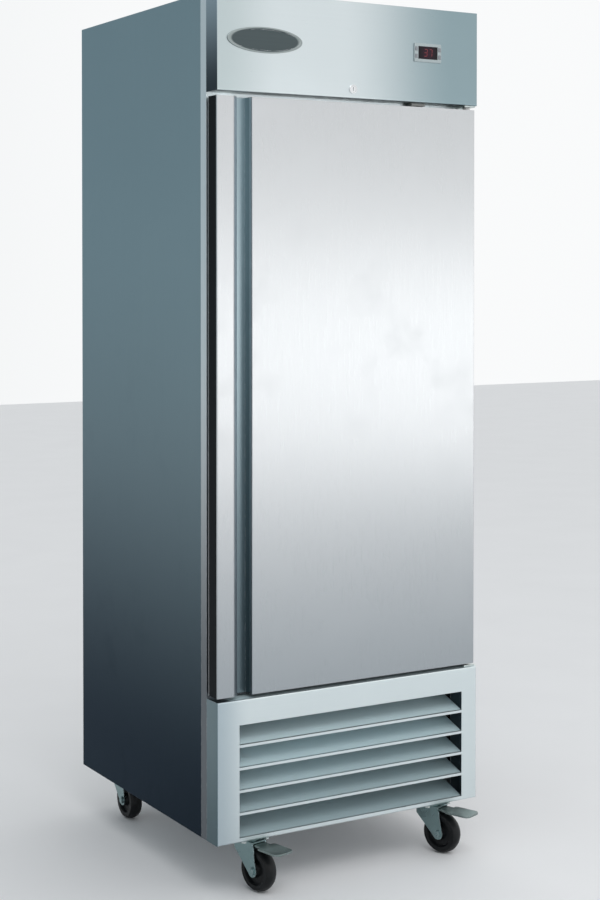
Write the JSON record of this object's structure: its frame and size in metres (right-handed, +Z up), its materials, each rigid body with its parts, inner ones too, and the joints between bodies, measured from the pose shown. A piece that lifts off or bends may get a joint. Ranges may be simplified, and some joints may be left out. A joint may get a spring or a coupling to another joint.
{
  "type": "reach in refrigerator",
  "caption": "Upright stainless reach-in refrigerator with a recessed-handle door, header controls, lower louvre grille, wire shelves and swivel casters, for storing chilled food.",
  "frame": {"origin": "on the floor, under the middle of the object's own box, brake pedals included", "axes": "+Z up, +X to the right of a person facing the door, -Y the way the door faces"},
  "size_m": [0.736, 0.8554, 2.094],
  "materials": {
    "stainless_front": "satin",
    "stainless_side": "satin",
    "stainless_inner": "satin",
    "galvanised": "satin",
    "foam": "matte",
    "black_trim": "satin",
    "seal_rubber": "matte",
    "zinc_plate": "satin",
    "caster_tyre": "matte",
    "badge_metal": "satin",
    "bezel_plastic": "matte",
    "display_lens": "gloss",
    "key_plastic": "matte",
    "lock_metal": "gloss",
    "black_metal": "gloss",
    "motor_metal": "satin",
    "coil_fins": "satin",
    "copper": "satin",
    "tray_plastic": "satin",
    "grey_plastic": "matte",
    "lamp_lens": "satin",
    "white_plastic": "satin",
    "shelf_coat": "satin",
    "screw_steel": "satin"
  },
  "bodies": {
    "cabinet": {"side_panel_left": "stainless_side", "side_panel_right": "stainless_side", "top_panel": "stainless_side", "back_panel": "galvanised", "face_frame": "stainless_side", "liner": "stainless_inner", "insulation": "foam", "base_frame": "galvanised", "machine_bay_sheets": "galvanised", "rear_grille": "galvanised", "header_panel": "stainless_front", "name_badge": "badge_metal", "controller_bezel": "bezel_plastic", "display_window": "display_lens", "lock_housing": "lock_metal", "door_switch": "white_plastic", "louvre_grille": "stainless_front", "hinge_brackets": "stainless_inner", "shelf_pilasters": "stainless_inner", "shelf_clips": "zinc_plate", "evaporator_cover": "stainless_inner", "evaporator_coil": "coil_fins", "fan_motors": "motor_metal", "light_fixture": "lamp_lens", "condenser_coil": "coil_fins", "condenser_shroud": "galvanised", "compressor": "black_metal", "refrigerant_lines": "copper", "evaporation_pan": "tray_plastic", "junction_box": "grey_plastic", "cable_gland": "black_trim", "caster_plates": "zinc_plate", "fasteners": "screw_steel"},
    "door": {"door_skin": "stainless_front", "door_edge_trim": "black_trim", "door_foam": "foam", "door_liner": "stainless_inner", "door_gasket": "seal_rubber", "hinge_bushes": "white_plastic"},
    "lock_barrel": {"lock_cylinder": "lock_metal"},
    "lock_bolt": {"lock_bolt": "zinc_plate"},
    "key_set": {"key_set": "key_plastic"},
    "key_light": {"key_light": "key_plastic"},
    "key_up": {"key_up": "key_plastic"},
    "key_down": {"key_down": "key_plastic"},
    "evaporator_fan": {"evaporator_fan": "tray_plastic"},
    "condenser_fan": {"condenser_fan": "motor_metal"},
    "shelf_1": {"wire_shelf_1": "shelf_coat"},
    "shelf_2": {"wire_shelf_2": "shelf_coat"},
    "shelf_3": {"wire_shelf_3": "shelf_coat"},
    "caster_front_left": {"caster_fork_front_left": "zinc_plate"},
    "wheel_front_left": {"caster_wheel_front_left": "caster_tyre"},
    "pedal_front_left": {"brake_pedal_front_left": "zinc_plate"},
    "caster_front_right": {"caster_fork_front_right": "zinc_plate"},
    "wheel_front_right": {"caster_wheel_front_right": "caster_tyre"},
    "pedal_front_right": {"brake_pedal_front_right": "zinc_plate"},
    "caster_rear_left": {"caster_fork_rear_left": "zinc_plate"},
    "wheel_rear_left": {"caster_wheel_rear_left": "caster_tyre"},
    "caster_rear_right": {"caster_fork_rear_right": "zinc_plate"},
    "wheel_rear_right": {"caster_wheel_rear_right": "caster_tyre"}
  },
  "joints": [
    {"name": "door_hinge", "type": "hinge", "parent": "cabinet", "child": "door", "pos_m": [0.348, -0.3233, 0.466], "axis": [0, 0, 1], "range_deg": [0, 115]},
    {"name": "lock_turn", "type": "hinge", "parent": "cabinet", "child": "lock_barrel", "pos_m": [0, -0.3433, 1.885], "axis": [0, 1, 0], "range_deg": [0, 90]},
    {"name": "lock_bolt_slide", "type": "slide", "parent": "cabinet", "child": "lock_bolt", "axis": [0, 0, -1], "range_m": [0, 0.022]},
    {"name": "key_set_press", "type": "slide", "parent": "cabinet", "child": "key_set", "axis": [0, 1, 0], "range_m": [0, 0.0008], "stiffness_N_per_m": 300},
    {"name": "key_light_press", "type": "slide", "parent": "cabinet", "child": "key_light", "axis": [0, 1, 0], "range_m": [0, 0.0008], "stiffness_N_per_m": 300},
    {"name": "key_up_press", "type": "slide", "parent": "cabinet", "child": "key_up", "axis": [0, 1, 0], "range_m": [0, 0.0008], "stiffness_N_per_m": 300},
    {"name": "key_down_press", "type": "slide", "parent": "cabinet", "child": "key_down", "axis": [0, 1, 0], "range_m": [0, 0.0008], "stiffness_N_per_m": 300},
    {"name": "evaporator_fan_spin", "type": "hinge", "parent": "cabinet", "child": "evaporator_fan", "pos_m": [0, -0.0533, 1.8752], "axis": [0, 0, 1], "continuous": true},
    {"name": "condenser_fan_spin", "type": "hinge", "parent": "cabinet", "child": "condenser_fan", "pos_m": [-0.12, -0.1633, 0.265], "axis": [0, 1, 0], "continuous": true},
    {"name": "shelf_1_lift", "type": "slide", "parent": "cabinet", "child": "shelf_1", "axis": [0, 0, 1], "range_m": [0, 0.04]},
    {"name": "shelf_2_lift", "type": "slide", "parent": "cabinet", "child": "shelf_2", "axis": [0, 0, 1], "range_m": [0, 0.04]},
    {"name": "shelf_3_lift", "type": "slide", "parent": "cabinet", "child": "shelf_3", "axis": [0, 0, 1], "range_m": [0, 0.04]},
    {"name": "caster_front_left_swivel", "type": "hinge", "parent": "cabinet", "child": "caster_front_left", "pos_m": [-0.26, -0.2983, 0.113], "axis": [0, 0, 1], "continuous": true},
    {"name": "wheel_front_left_spin", "type": "hinge", "parent": "caster_front_left", "child": "wheel_front_left", "pos_m": [-0.25272, -0.33254, 0.05], "axis": [0.9781, 0.2079, 0], "continuous": true},
    {"name": "pedal_front_left_press", "type": "hinge", "parent": "caster_front_left", "child": "pedal_front_left", "pos_m": [-0.25439, -0.32471, 0.1063], "axis": [0.9781, 0.2079, 0], "range_deg": [0, 10]},
    {"name": "caster_front_right_swivel", "type": "hinge", "parent": "cabinet", "child": "caster_front_right", "pos_m": [0.26, -0.2983, 0.113], "axis": [0, 0, 1], "continuous": true},
    {"name": "wheel_front_right_spin", "type": "hinge", "parent": "caster_front_right", "child": "wheel_front_right", "pos_m": [0.27254, -0.33098, 0.05], "axis": [0.9336, 0.3584, 0], "continuous": true},
    {"name": "pedal_front_right_press", "type": "hinge", "parent": "caster_front_right", "child": "pedal_front_right", "pos_m": [0.26968, -0.32351, 0.1063], "axis": [0.9336, 0.3584, 0], "range_deg": [0, 10]},
    {"name": "caster_rear_left_swivel", "type": "hinge", "parent": "cabinet", "child": "caster_rear_left", "pos_m": [-0.286, 0.3467, 0.113], "axis": [0, 0, 1], "continuous": true},
    {"name": "wheel_rear_left_spin", "type": "hinge", "parent": "caster_rear_left", "child": "wheel_rear_left", "pos_m": [-0.286, 0.3117, 0.05], "axis": [1, 0, 0], "continuous": true},
    {"name": "caster_rear_right_swivel", "type": "hinge", "parent": "cabinet", "child": "caster_rear_right", "pos_m": [0.286, 0.3467, 0.113], "axis": [0, 0, 1], "continuous": true},
    {"name": "wheel_rear_right_spin", "type": "hinge", "parent": "caster_rear_right", "child": "wheel_rear_right", "pos_m": [0.30079, 0.31498, 0.05], "axis": [0.9063, 0.4226, 0], "continuous": true}
  ],
  "couplings": [
    {"joint": "lock_turn", "follows": "lock_bolt_slide", "rad_per_m": 71.399}
  ]
}
